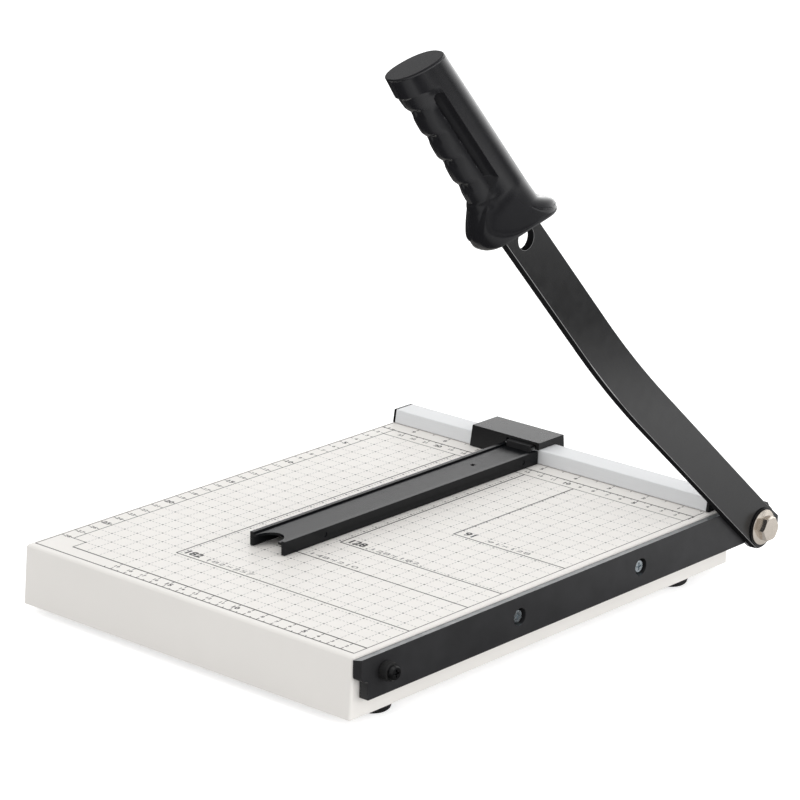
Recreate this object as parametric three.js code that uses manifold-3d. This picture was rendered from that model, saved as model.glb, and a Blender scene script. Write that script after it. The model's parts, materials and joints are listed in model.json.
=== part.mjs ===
// Desk paper trimmer: a folded steel board with a bed knife, a lever blade and a sliding paper stop.
// Millimetres. X grows to the right, across the cutting edge. Y grows towards the fence. Z is up.
// The pieces are placed from three planes: X = 0 is the cutting edge, Y = 0 is the fence's front
// face and Z = 0 is the top of the board. The last lines move the whole to its own footprint.
import * as THREE from "three";
import { mergeVertices } from "three/addons/utils/BufferGeometryUtils.js";
import Module from "manifold-3d";

const wasm = await Module();
wasm.setup();

// How many flat sides stand for a round
const smallSides = 16;
const roundSides = 24;
const largeSides = 28;
const thumbSides = 32;
const gripSides = 40;
const arcSteps = 8;
const armArcSteps = 14;

// Shared clearances
const gap = 0.3; // air between two pieces that rest on each other
const overrun = 2; // how far a cutter runs past the face that it opens

// Board: one sheet, folded down on four sides and in again at the bottom
const baseWidth = 245.7;
const baseDepth = 323;
const baseHeight = 34.1;
const sheet = 1.2;
const foldInner = 0.2; // inner radius of the sheet's top folds
const cornerInner = 0.45; // inner radius of its upright corners
const frontLean = 2.6; // the front skirt's lower edge stands this far out
const frontRun = 3; // the side skirts follow it over this length
const sideLip = 30;
const endLip = 12;
const fenceInset = 18; // from the back of the board to the fence's front face

// Feet, screwed to the side lips
const footRadius = 11;
const footToeRadius = 9.8;
const footToeRound = 1;
const footHeight = 4.7;
const footInsetSide = 12.2;
const footInsetFront = 28.5;
const footInsetBack = 38.4;

// Small machine screws and nuts
const screwRadius = 2;
const screwHeadRadius = 4;
const screwHeadHeight = 2.4;
const screwCrossLength = 4.4;
const screwCrossWidth = 1;
const screwCrossDepth = 1.2;
const nutFlats = 7;
const nutHeight = 3.2;
const screwEnd = 1.5; // thread that shows past a nut

// Bed knife: a ground bar along the right edge, longer than the board, which carries the pivot
const knifeThickness = 6;
const knifeRise = 0.5; // cutting edge above the board
const knifeFall = 0.9; // inner edge of the ground top below the board
const knifeBottom = 23;
const knifeNose = 0.6; // front end ahead of the board
const knifeTail = 40.5; // rear end behind the board
const knifeStepLength = 5.2;
const knifeStepDrop = 12;
const knifeStepRadius = 2.6;
const tailShoulder = 20; // the tail's corners: distance from its end, and depth below the top
const tailCrest = 11;
const tailCrestDrop = 3.9;
const tailHeel = 8.5;
const tailHeelDrop = 7.8;
const tailCornerDrop = 14.8;
const knifeScrewFront = 179; // from the fence
const knifeScrewRear = 73;
const knifeScrewDrop = 11.2;
const boreRadius = 5; // counterbore for a head
const boreDepth = 4.3;
const headSink = 1.4; // head below the knife's face

// Stop that the lowered blade rests on
const stopFromNose = 17.6; // behind the front end of the knife
const stopDrop = 9.5;
const sleeveRadius = 5.2;
const sleeveLength = 5.2;
const stopHeadHeight = 2.6;

// Fence: a square tube along the back with a cap in each end
const railHeight = 8.2;
const railDepth = 17;
const railWall = 1.4;
const railRadius = 0.6;
const railLean = 1.4; // its front leans back by this much at the top
const capThickness = 1.5;
const plugLength = 6;
const fenceLeftInset = 1.6;
const fenceRightInset = 2;
const fenceScrewCount = 3;
const fenceScrewMargin = 26;
const fenceScrewLength = 5;

// Sliding paper stop: a block over the fence and a channel along the board
const stopPlace = 134.4; // right face, from the cutting edge
const blockWidth = 52.2;
const blockFront = 1.6;
const blockBack = 8;
const blockHeight = 12.6;
const blockRoof = 1.6;
const channelWidth = 26.5;
const channelHeight = 8;
const channelWall = 2.7;
const channelSink = 0.9; // web below the top of the walls
const channelWeb = 1.5;
const channelReach = 220.3; // tip, from the fence
const thumbWidth = 16.4;
const thumbDepth = 10.5;
const webHole = 2.6;
const webHoleFromFence = 44.8;
const dimpleRadius = 1.6;
const dimpleDepth = 0.5;
const dimpleFromTip = 33;
const dimpleFromFence = 14;
const strapWidth = 18;
const strapThickness = 1.2;
const strapReach = 24;
const strapOver = 16; // run of the strap over the fence
const rivetRadius = 1.3;
const rivetHeadRadius = 2.3;
const rivetHeadHeight = 1.1;
const rivetBite = 1; // how far a rivet goes into the piece that it holds
const padLength = 20;
const padWidth = 11;
const padInset = 3;

// Blade arm: a bar that is bent a little upwards halfway
const pivotBehind = 35; // behind the fence's front face
const pivotDrop = 14;
const armThickness = 4.5;
const armHalfWidth = 12.45;
const armEyeRadius = 13.2;
const armStraight = 142; // from the pivot to the bend
const armBendRadius = 720;
const armBend = 6.3; // degrees
const armRaise = 41.4; // degrees above the board at rest
const armDrop = 40; // degrees from rest until the arm lies on its stop
const edgeGrind = 0.6; // width of the ground bevel
const edgeLand = 1.2; // thickness left at the edge
const lockHoleRadius = 6.2;
const lockHoleFromGuard = 13.8;

// Pivot
const shankRadius = 4;
const bushWall = 1.5;
const washerThickness = 0.5;
const washerRadius = 11.3;
const flangeRadius = 10.5;
const flangeThickness = 1.2;
const flangeRim = 0.7;
const headFlats = 13;
const headHeight = 4.9;
const headChamfer = 0.5;
const discRadius = 9;
const discThickness = 1;
const discCone = 0.8;
const pivotNutFlats = 13;
const pivotNutHeight = 7;
const collarHeight = 1.8;
const pivotBoltEnd = 2;

// Handle: a grip on the arm's tang. Its slanted cross-sections are numbered by their station,
// which is their distance from the guard's rim. Front is the finger side, back is the palm side.
const gripLength = 119.6;
const guardOverBoard = 17.5; // how far the guard reaches in over the board, once the arm is down
const gripOffset = 2.1; // the grip's own axis above the middle line of the arm
const gripTilt = 7.9; // degrees, over the arm's rear half
const gripLean = 27.3; // degrees between a cross-section and a square cut
const gripBack = 17.8;
const gripEndBack = 16.9;
const gripFront = 16.6;
const gripHalfWidth = 9.2;
const gripEndHalfWidth = 8.5;
const collarRun = 13.5; // smooth collar next to the end cap
const collarFront = 18.9;
const collarEndFront = 17.6;
const collarStep = 1.5;
const fingerBump = 1.3;
const fingerPitch = 19;
const fingerStart = 39.2; // station of the first notch between two fingers
const fingerPeakShare = 0.2;
const panelDepth = 2.2; // hollow in the flanks, on the finger side of a ridge
const panelSlope = 6.5;
const panelTop = 103;
const panelTopRun = 5;
const panelFoot = 37; // below this station the ridge swings to the finger side
const panelFootSlope = 0.95;
const guardFront = 32.2;
const guardBack = 24.8;
const guardHalfWidth = 17.6;
const guardFrontRun = 25.5;
const guardBackRun = 15.2;
const guardSideRun = 26.4;
const guardRun = 30; // the sections shift over this length, as below
const guardReach = 2.4; // towards the pivot, whole section
const guardBow = 5; // towards the pivot, its front and back more than its sides
const rimRun = 10.7; // the guard's rim is rounded over this length
const rimShare = 0.24; // and by this share of its size
const guardRelief = 1.8; // room between the relieved guard and the board's corner
const tangHalfWidth = 8;
const tangStart = 16;
const tangFromEnd = 19.6; // the tang ends this far from the end of the grip
const endCapThickness = 1.6;
const endPlugShare = 0.45;
const endPlugLength = 5;
const pinRadius = 2;
const pinFromTangEnd = 40;
const pinAcross = 3;
const pinSkin = 2; // what the grip keeps over the pin's blind end

// Places that follow from the sizes above
const foldRadius = foldInner + sheet;
const cornerRadius = cornerInner + sheet;
const baseRight = -(knifeThickness + gap);
const baseLeft = baseRight - baseWidth;
const baseBack = fenceInset;
const baseFront = fenceInset - baseDepth;
const knifeFrontY = baseFront - knifeNose;
const knifeBackY = baseBack + knifeTail;
const railBottom = gap;
const railTop = railBottom + railHeight;
const railLeft = baseLeft + fenceLeftInset + capThickness + gap;
const railRight = baseRight - fenceRightInset - capThickness - gap;
const blockRight = -stopPlace;
const blockLeft = blockRight - blockWidth;
const roofUnder = railBottom + blockHeight - blockRoof;
const channelLeft = blockRight - channelWidth;
const channelMiddle = (blockRight + channelLeft) / 2;
const channelTop = gap + channelHeight;
const webTop = channelTop - channelSink;
const webUnder = webTop - channelWeb;
const stopFromFence = -knifeFrontY - stopFromNose;
const armInner = gap;
const armOuter = armInner + armThickness;
const armMiddle = (armInner + armOuter) / 2;
const degree = Math.PI / 180;
const gripFromPivot = pivotBehind - knifeFrontY - guardOverBoard;
const gripAbove = armMiddleAt(gripFromPivot) + gripOffset;
const tangLength = gripLength - tangStart - tangFromEnd;
const pinAlong = tangStart + tangLength - pinFromTangEnd;
const lockHoleAt = gripFromPivot - lockHoleFromGuard;

const finishes = {
  boardPaint: { color: 0xe9e7e3, roughness: 0.45, metalness: 0 },
  blackSteel: { color: 0x2c2c2e, roughness: 0.42, metalness: 0.5 },
  zinc: { color: 0xc4c9cf, roughness: 0.3, metalness: 1 },
  nickel: { color: 0xd6cbbb, roughness: 0.18, metalness: 1 },
  railAluminium: { color: 0xdfe1e3, roughness: 0.4, metalness: 0.3 },
  blackPlastic: { color: 0x1d1d1f, roughness: 0.5, metalness: 0 },
  channelPlastic: { color: 0x333538, roughness: 0.45, metalness: 0 },
  gripPlastic: { color: 0x232326, roughness: 0.38, metalness: 0 },
  rubber: { color: 0x1b1a1a, roughness: 0.85, metalness: 0 },
  brass: { color: 0xb99a55, roughness: 0.35, metalness: 1 },
  felt: { color: 0x55565a, roughness: 0.95, metalness: 0 },
};

function solid(geometry) {
  const bare = geometry.index ? geometry.toNonIndexed() : geometry.clone();
  bare.deleteAttribute("normal");
  bare.deleteAttribute("uv");
  const merged = mergeVertices(bare, 1e-4);
  return new wasm.Manifold(
    new wasm.Mesh({
      numProp: 3,
      vertProperties: new Float32Array(merged.attributes.position.array),
      triVerts: new Uint32Array(merged.index.array),
    }),
  );
}

function surface(manifold) {
  const mesh = manifold.getMesh();
  const geometry = new THREE.BufferGeometry();
  geometry.setAttribute("position", new THREE.BufferAttribute(new Float32Array(mesh.vertProperties), 3));
  geometry.setIndex(new THREE.BufferAttribute(new Uint32Array(mesh.triVerts), 1));
  geometry.computeVertexNormals();
  return geometry;
}

function cut(geometry, ...cutters) {
  return surface(cutters.reduce((left, cutter) => left.subtract(solid(cutter)), solid(geometry)));
}

function join(geometry, ...others) {
  return surface(others.reduce((sum, other) => sum.add(solid(other)), solid(geometry)));
}

// A box between two values along each axis
function block([x0, x1], [y0, y1], [z0, z1]) {
  const geometry = new THREE.BoxGeometry(x1 - x0, y1 - y0, z1 - z0);
  return geometry.translate((x0 + x1) / 2, (y0 + y1) / 2, (z0 + z1) / 2);
}

// A round bar along X from x0 to x1
function rodX(radius, x0, x1, y, z, sides = roundSides) {
  const geometry = new THREE.CylinderGeometry(radius, radius, x1 - x0, sides);
  return geometry.rotateZ(-Math.PI / 2).translate((x0 + x1) / 2, y, z);
}

// A round bar along Z from z0 to z1
function rodZ(radius, x, y, z0, z1, sides = roundSides) {
  const geometry = new THREE.CylinderGeometry(radius, radius, z1 - z0, sides);
  return geometry.rotateX(Math.PI / 2).translate(x, y, (z0 + z1) / 2);
}

// Turns a shape that is drawn in Y and Z into a bar between x0 and x1
function barX(shape, x0, x1, steps = arcSteps) {
  const geometry = new THREE.ExtrudeGeometry(shape, {
    depth: x1 - x0,
    bevelEnabled: false,
    curveSegments: steps,
  });
  const turn = new THREE.Matrix4().makeBasis(
    new THREE.Vector3(0, 1, 0),
    new THREE.Vector3(0, 0, 1),
    new THREE.Vector3(1, 0, 0),
  );
  return geometry.applyMatrix4(turn).translate(x0, 0, 0);
}

// A turned piece: its profile is given as radius and height, and its axis is Z
function turned(profile, sides = roundSides) {
  const points = profile.map(([radius, height]) => new THREE.Vector2(radius, height));
  return new THREE.LatheGeometry(points, sides).rotateX(Math.PI / 2);
}

function hexagon(flats, z0, z1) {
  const geometry = new THREE.CylinderGeometry(flats / Math.sqrt(3), flats / Math.sqrt(3), z1 - z0, 6);
  return geometry.rotateX(Math.PI / 2).translate(0, 0, (z0 + z1) / 2);
}

function named(name, geometry, finish) {
  const mesh = new THREE.Mesh(geometry, new THREE.MeshStandardMaterial(finish));
  mesh.name = name;
  return mesh;
}

// Points a piece that was drawn upwards along Z towards +X, with its foot at x, y, z
function aimX(geometry, x, y, z, towards = 1) {
  return geometry.rotateY((towards * Math.PI) / 2).translate(x, y, z);
}

// Cross-head screw: the head stands on Z = 0 and the thread goes down from there
function crossScrew(length, headHeight = screwHeadHeight, headRadius = screwHeadRadius) {
  const rimHeight = headHeight / 2;
  const crownRadius = headRadius - rimHeight / 2;
  const body = turned([
    [0, -length],
    [screwRadius - gap, -length],
    [screwRadius - gap, 0],
    [headRadius, 0],
    [headRadius, rimHeight],
    [crownRadius, headHeight],
    [0, headHeight],
  ]);
  const low = headHeight - screwCrossDepth;
  const long = [-screwCrossLength / 2, screwCrossLength / 2];
  const wide = [-screwCrossWidth / 2, screwCrossWidth / 2];
  const high = [low, headHeight + overrun];
  return cut(body, block(long, wide, high), block(wide, long, high));
}

function hexNut(flats, height, holeRadius) {
  return cut(hexagon(flats, 0, height), rodZ(holeRadius, 0, 0, -overrun, height + overrun));
}

function roundedRectangle(width, depth, radius) {
  const x = width / 2 - radius;
  const y = depth / 2 - radius;
  const shape = new THREE.Shape();
  shape.absarc(x, y, radius, 0, Math.PI / 2, false);
  shape.absarc(-x, y, radius, Math.PI / 2, Math.PI, false);
  shape.absarc(-x, -y, radius, Math.PI, Math.PI * 1.5, false);
  shape.absarc(x, -y, radius, Math.PI * 1.5, Math.PI * 2, false);
  return shape;
}

// A tray upside down: rounded corners and a rounded top edge, cut off square below
function foldedBox(x, y, top, bottom, corner, edge) {
  const shape = roundedRectangle(x[1] - x[0], y[1] - y[0], corner);
  const geometry = new THREE.ExtrudeGeometry(shape, {
    depth: top - bottom,
    bevelThickness: edge,
    bevelSize: edge,
    bevelOffset: -edge,
    bevelSegments: 3,
    curveSegments: 4,
  });
  geometry.translate((x[0] + x[1]) / 2, (y[0] + y[1]) / 2, bottom - edge);
  const below = block(
    [x[0] - overrun, x[1] + overrun],
    [y[0] - overrun, y[1] + overrun],
    [bottom - edge * 2 - overrun, bottom],
  );
  return cut(geometry, below);
}

const footPlaces = [
  ["front_left", baseLeft + footInsetSide, baseFront + footInsetFront],
  ["front_right", baseRight - footInsetSide, baseFront + footInsetFront],
  ["rear_left", baseLeft + footInsetSide, baseBack - footInsetBack],
  ["rear_right", baseRight - footInsetSide, baseBack - footInsetBack],
];

const knifeScrewPlaces = [
  ["front", -knifeScrewFront],
  ["rear", -knifeScrewRear],
];

const fenceScrewPlaces = Array.from({ length: fenceScrewCount }, (_, index) => {
  const run = railRight - railLeft - fenceScrewMargin * 2;
  return railLeft + fenceScrewMargin + (run * index) / (fenceScrewCount - 1);
});

// Leans the front skirt out, with the first bit of the side skirts
function leanFront(shell) {
  const wide = [baseLeft - overrun, baseRight + overrun];
  const high = [-baseHeight - overrun, overrun];
  const corners = baseFront + cornerRadius;
  const seam = corners + frontRun;
  const rest = cut(shell, block(wide, [baseFront - overrun, seam], high));
  const front = cut(shell, block(wide, [seam, baseBack + overrun], high));
  const position = front.getAttribute("position");
  for (let index = 0; index < position.count; index += 1) {
    if (position.getY(index) < corners + frontRun / 2) {
      const share = clamp01(-position.getZ(index) / baseHeight);
      position.setY(index, position.getY(index) - frontLean * share);
    }
  }
  return join(front, rest);
}

function baseShell() {
  const acrossX = [baseLeft, baseRight];
  const acrossY = [baseFront, baseBack];
  const outer = foldedBox(acrossX, acrossY, 0, -baseHeight, cornerRadius, foldRadius);
  const hollow = foldedBox(
    [baseLeft + sheet, baseRight - sheet],
    [baseFront + sheet, baseBack - sheet],
    -sheet,
    sheet - baseHeight,
    cornerInner,
    foldInner,
  );
  const mouth = block(
    [baseLeft + sideLip, baseRight - sideLip],
    [baseFront + endLip, baseBack - endLip],
    [-baseHeight - overrun, -baseHeight + sheet + overrun],
  );
  const feet = footPlaces.map(([, x, y]) =>
    rodZ(screwRadius, x, y, -baseHeight - overrun, -baseHeight + sheet + overrun),
  );
  const skirtX = [baseRight - sheet - overrun, baseRight + overrun];
  const skirt = knifeScrewPlaces.map(([, y]) => rodX(screwRadius, ...skirtX, y, -knifeScrewDrop));
  const stop = rodX(screwRadius, ...skirtX, -stopFromFence, -stopDrop);
  const fence = fenceScrewPlaces.map((x) => rodZ(screwRadius, x, railDepth / 2, -sheet - overrun, overrun));
  return leanFront(cut(outer, hollow, mouth, ...feet, ...skirt, stop, ...fence));
}

function foot() {
  const bore = screwHeadRadius + gap;
  const floor = screwHeadHeight + gap * 4;
  return turned(
    [
      [bore, 0],
      [footToeRadius - footToeRound, 0],
      [footToeRadius, footToeRound],
      [footRadius, footHeight],
      [screwRadius, footHeight],
      [screwRadius, floor],
      [bore, floor],
      [bore, 0],
    ],
    largeSides,
  );
}

function knifeOutline() {
  const shape = new THREE.Shape();
  const stepY = knifeFrontY + knifeStepLength;
  const round = knifeStepRadius;
  shape.moveTo(knifeFrontY, knifeRise);
  shape.lineTo(knifeFrontY, -knifeStepDrop + round);
  shape.quadraticCurveTo(knifeFrontY, -knifeStepDrop, knifeFrontY + round, -knifeStepDrop);
  shape.quadraticCurveTo(stepY, -knifeStepDrop, stepY, -knifeStepDrop - round);
  shape.lineTo(stepY, -knifeBottom);
  shape.lineTo(knifeBackY, -knifeBottom);
  shape.lineTo(knifeBackY, knifeRise - tailCornerDrop);
  shape.lineTo(knifeBackY - tailHeel, knifeRise - tailHeelDrop);
  shape.lineTo(knifeBackY - tailCrest, knifeRise - tailCrestDrop);
  shape.lineTo(knifeBackY - tailShoulder, knifeRise);
  return shape;
}

function bedKnife() {
  const bar = barX(knifeOutline(), -knifeThickness, 0, 4);
  const slope = new THREE.Shape();
  slope.moveTo(0, knifeRise);
  slope.lineTo(0, knifeRise + overrun);
  slope.lineTo(-knifeThickness - overrun, knifeRise + overrun);
  const fallPerRun = (knifeRise + knifeFall) / knifeThickness;
  slope.lineTo(-knifeThickness - overrun, knifeRise - fallPerRun * (knifeThickness + overrun));
  const grind = new THREE.ExtrudeGeometry(slope, {
    depth: knifeBackY - knifeFrontY + overrun * 2,
    bevelEnabled: false,
  });
  grind.rotateX(Math.PI / 2).translate(0, knifeBackY + overrun, 0);
  const through = [-knifeThickness - overrun, overrun];
  const counterbore = [-boreDepth, overrun];
  const holes = knifeScrewPlaces.flatMap(([, y]) => [
    rodX(screwRadius, ...through, y, -knifeScrewDrop),
    rodX(boreRadius, ...counterbore, y, -knifeScrewDrop, largeSides),
  ]);
  const stop = rodX(screwRadius, ...through, -stopFromFence, -stopDrop);
  const pivot = rodX(shankRadius + gap, ...through, pivotBehind, -pivotDrop, largeSides);
  return cut(bar, grind, ...holes, stop, pivot);
}

function knifeFastener(y) {
  const nutFace = baseRight - sheet - gap;
  const seat = -headSink - screwHeadHeight;
  const screw = aimX(crossScrew(seat - (nutFace - nutHeight - screwEnd)), seat, y, -knifeScrewDrop);
  const nut = aimX(hexNut(nutFlats, nutHeight, screwRadius), nutFace, y, -knifeScrewDrop, -1);
  return [screw, nut];
}

function stopPieces() {
  const sleeve = cut(
    rodX(sleeveRadius, gap, gap + sleeveLength, -stopFromFence, -stopDrop, largeSides),
    rodX(screwRadius, -overrun, sleeveLength + overrun, -stopFromFence, -stopDrop),
  );
  const nutFace = baseRight - sheet - gap;
  const seat = sleeveLength + gap * 2;
  const length = seat - (nutFace - nutHeight - screwEnd);
  const screw = aimX(crossScrew(length, stopHeadHeight), seat, -stopFromFence, -stopDrop);
  const nut = aimX(hexNut(nutFlats, nutHeight, screwRadius), nutFace, -stopFromFence, -stopDrop, -1);
  return [
    named("stop_sleeve", sleeve, finishes.rubber),
    named("stop_screw", screw, finishes.blackSteel),
    named("stop_nut", nut, finishes.zinc),
  ];
}

// The fence's section, drawn in Y and Z around its own middle
function railSection(inset) {
  return roundedRectangle(railDepth - inset * 2, railHeight - inset * 2, Math.max(railRadius - inset, gap));
}

function railBar(inset, x0, x1) {
  return barX(railSection(inset), x0, x1, 2).translate(0, railDepth / 2, (railBottom + railTop) / 2);
}

// Leans the front of a fence piece back and leaves its back upright
function leanBack(piece) {
  const position = piece.getAttribute("position");
  for (let index = 0; index < position.count; index += 1) {
    const y = position.getY(index);
    const rise = (position.getZ(index) - railBottom) / railHeight;
    position.setY(index, y + railLean * rise * (1 - y / railDepth));
  }
  return piece;
}

function fenceRail() {
  const inside = leanBack(railBar(railWall, railLeft - overrun, railRight + overrun));
  const holes = fenceScrewPlaces.map((x) =>
    rodZ(screwRadius, x, railDepth / 2, railBottom - overrun, railBottom + railWall + overrun),
  );
  return cut(leanBack(railBar(0, railLeft, railRight)), inside, ...holes);
}

function fenceCap(face, towards) {
  const outside = face + towards * capThickness;
  const plugEnd = face - towards * (plugLength + gap);
  const ordered = (a, b) => [Math.min(a, b), Math.max(a, b)];
  const plate = leanBack(railBar(0, ...ordered(face, outside)));
  const plug = leanBack(railBar(railWall + gap, ...ordered(plugEnd, outside)));
  return join(plate, plug);
}

function fenceScrew(x) {
  const seat = -sheet - gap;
  return crossScrew(fenceScrewLength).rotateX(Math.PI).translate(x, railDepth / 2, seat);
}

function guideBlock() {
  const back = railDepth + blockBack;
  const high = [railBottom, railBottom + blockHeight];
  const body = leanBack(block([blockLeft, blockRight], [-blockFront, back], high));
  const tunnel = leanBack(
    block(
      [blockLeft - overrun, blockRight + overrun],
      [-gap, railDepth + gap],
      [railBottom - overrun, railTop + gap],
    ),
  );
  const doorway = block(
    [channelLeft - gap, blockRight + overrun],
    [-blockFront - overrun, railLean + gap],
    [railBottom - overrun, channelTop + gap],
  );
  const transom = block(
    [channelLeft + channelWall / 2, blockRight - channelWall],
    [-blockFront - overrun, railLean + gap],
    [channelTop, roofUnder],
  );
  const strapRoom = block(
    [channelMiddle - strapWidth / 2 - gap, channelMiddle + strapWidth / 2 + gap],
    [-blockFront - overrun, strapOver + gap],
    [railTop, roofUnder],
  );
  const padRoom = block(
    [blockLeft + padInset - gap, blockLeft + padInset + padLength + gap],
    [(railDepth - padWidth) / 2 - gap, (railDepth + padWidth) / 2 + gap],
    [railTop, roofUnder],
  );
  const pins = strapPins().map((y) =>
    rodZ(rivetRadius + gap, channelMiddle, y, roofUnder - overrun, roofUnder + rivetBite + gap, smallSides),
  );
  return cut(body, tunnel, doorway, transom, strapRoom, padRoom, ...pins);
}

function guideChannel() {
  const body = block([channelLeft, blockRight], [-channelReach, -gap], [gap, gap + channelHeight]);
  const inner = [channelLeft + channelWall, blockRight - channelWall];
  const along = [-channelReach - overrun, overrun];
  const topRecess = block(inner, along, [webTop, webTop + channelSink + overrun]);
  const underside = block(inner, along, [gap - overrun, webUnder]);
  const thumb = rodZ(thumbWidth / 2, 0, 0, webUnder - overrun, webTop + overrun, thumbSides);
  thumb.scale(1, (thumbDepth * 2) / thumbWidth, 1).translate(channelMiddle, -channelReach, 0);
  const half = webHole / 2;
  const hole = block(
    [channelMiddle - half, channelMiddle + half],
    [-webHoleFromFence - half, -webHoleFromFence + half],
    [webUnder - overrun, webTop + overrun],
  );
  const notch = block(
    [channelMiddle - strapWidth / 2 - gap, channelMiddle + strapWidth / 2 + gap],
    [-blockFront - strapThickness - gap * 2, overrun],
    [webUnder - overrun, webTop + overrun],
  );
  const dimpleHigh = gap + channelHeight / 2;
  const dimples = [dimpleFromTip - channelReach, -dimpleFromFence].map((y) =>
    rodX(dimpleRadius, blockRight - dimpleDepth, blockRight + overrun, y, dimpleHigh, smallSides),
  );
  const rivets = strapRivets().map((y) =>
    rodZ(rivetRadius + gap, channelMiddle, y, webUnder - overrun, webUnder + rivetBite + gap, smallSides),
  );
  return cut(body, topRecess, underside, thumb, hole, notch, ...dimples, ...rivets);
}

// Rivets through the strap: two under the channel's web and two under the block's roof
function strapRivets() {
  const back = -blockFront - strapThickness - gap;
  return [back - strapReach * 0.75, back - strapReach * 0.3];
}

function strapPins() {
  return [strapOver * 0.3, strapOver * 0.8];
}

// Cranked strap: it runs under the channel's web, climbs before the fence and runs over it
function guideStrap() {
  const x = [channelMiddle - strapWidth / 2, channelMiddle + strapWidth / 2];
  const riserBack = -blockFront - gap;
  const riserFront = riserBack - strapThickness;
  const low = webUnder - gap;
  const high = roofUnder - gap;
  const body = join(
    block(x, [riserFront - strapReach, riserBack], [low - strapThickness, low]),
    block(x, [riserFront, riserBack], [low - strapThickness, high]),
    block(x, [riserFront, strapOver], [high - strapThickness, high]),
  );
  const lower = strapRivets().map((y) =>
    rodZ(rivetRadius + gap, channelMiddle, y, low - strapThickness - overrun, low + overrun, smallSides),
  );
  const upper = strapPins().map((y) =>
    rodZ(rivetRadius + gap, channelMiddle, y, high - strapThickness - overrun, high + overrun, smallSides),
  );
  return cut(body, ...lower, ...upper);
}

function strapRivet(y) {
  const seat = webUnder - gap - strapThickness - gap;
  const start = seat - rivetHeadHeight;
  const head = rodZ(rivetHeadRadius, channelMiddle, y, start, seat, smallSides);
  return join(head, rodZ(rivetRadius, channelMiddle, y, start, webUnder + rivetBite, smallSides));
}

function strapPin(y) {
  const start = roofUnder - gap - strapThickness;
  return rodZ(rivetRadius, channelMiddle, y, start, roofUnder + rivetBite, smallSides);
}

function guidePad() {
  const x0 = blockLeft + padInset;
  const y0 = (railDepth - padWidth) / 2;
  return block([x0, x0 + padLength], [y0, y0 + padWidth], [railTop + gap, roofUnder - gap]);
}

// Where the grip's own axes stand in the arm's Y and Z
function gripPoint(across, along) {
  const tilt = gripTilt * degree;
  return [
    -gripFromPivot - along * Math.cos(tilt) + across * Math.sin(tilt),
    gripAbove + along * Math.sin(tilt) + across * Math.cos(tilt),
  ];
}

// The arm's outline round its pivot, with the tang; grow widens it evenly for the grip's socket
function armOutline(grow) {
  const half = armHalfWidth + grow;
  const eye = armEyeRadius + grow;
  const bend = armBend * degree;
  const bentTo = armStraight + armBendRadius * Math.sin(bend);
  const toShoulder = (gripFromPivot + tangStart - bentTo) / Math.cos(bend);
  const shape = new THREE.Shape();
  const meet = Math.asin(half / eye);
  shape.absarc(0, 0, eye, -Math.PI + meet, Math.PI - meet, false);
  shape.lineTo(-armStraight, half);
  shape.absarc(-armStraight, armBendRadius, armBendRadius - half, -Math.PI / 2, -Math.PI / 2 - bend, true);
  const centre = [
    -bentTo - toShoulder * Math.cos(bend),
    armBendRadius * (1 - Math.cos(bend)) + toShoulder * Math.sin(bend),
  ];
  const side = [half * Math.sin(bend), half * Math.cos(bend)];
  shape.lineTo(centre[0] + side[0], centre[1] + side[1]);
  shape.lineTo(...gripPoint(tangHalfWidth + grow, tangStart + grow));
  shape.lineTo(...gripPoint(tangHalfWidth + grow, tangStart + tangLength + grow));
  shape.lineTo(...gripPoint(-tangHalfWidth - grow, tangStart + tangLength + grow));
  shape.lineTo(...gripPoint(-tangHalfWidth - grow, tangStart + grow));
  shape.lineTo(centre[0] - side[0], centre[1] - side[1]);
  shape.absarc(-armStraight, armBendRadius, armBendRadius + half, -Math.PI / 2 - bend, -Math.PI / 2, false);
  return shape;
}

function armBar(grow) {
  return barX(armOutline(grow), armInner - grow, armOuter + grow, armArcSteps);
}

// Height of the arm's middle line above its rear half, at a distance from the pivot
function armMiddleAt(distance) {
  const bend = armBend * degree;
  const bentTo = armStraight + armBendRadius * Math.sin(bend);
  return armBendRadius * (1 - Math.cos(bend)) + (distance - bentTo) * Math.tan(bend);
}

// A wedge that grinds the outer side of the lower edge, along the same straights and bend
function edgeBevel() {
  const reach = armOuter - armInner - edgeLand;
  const profile = [
    [armInner + edgeLand, -armHalfWidth - overrun],
    [armInner + edgeLand, -armHalfWidth],
    [armOuter, -armHalfWidth + edgeGrind],
    [armOuter + reach, -armHalfWidth + edgeGrind],
    [armOuter + reach, -armHalfWidth - overrun],
  ];
  const bend = armBend * degree;
  const bendSteps = 10;
  const stations = [[-armEyeRadius, 0, 0]];
  for (let step = 0; step <= bendSteps; step += 1) {
    const turn = (bend * step) / bendSteps;
    stations.push([
      armStraight + armBendRadius * Math.sin(turn),
      armBendRadius * (1 - Math.cos(turn)),
      turn,
    ]);
  }
  const endAt = gripFromPivot + tangStart + overrun;
  stations.push([endAt, armMiddleAt(endAt), bend]);
  const rings = stations.map(([along, up, turn]) =>
    profile.map(([x, across]) => [x, -along + across * Math.sin(turn), up + across * Math.cos(turn)]),
  );
  return loft(rings);
}

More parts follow.
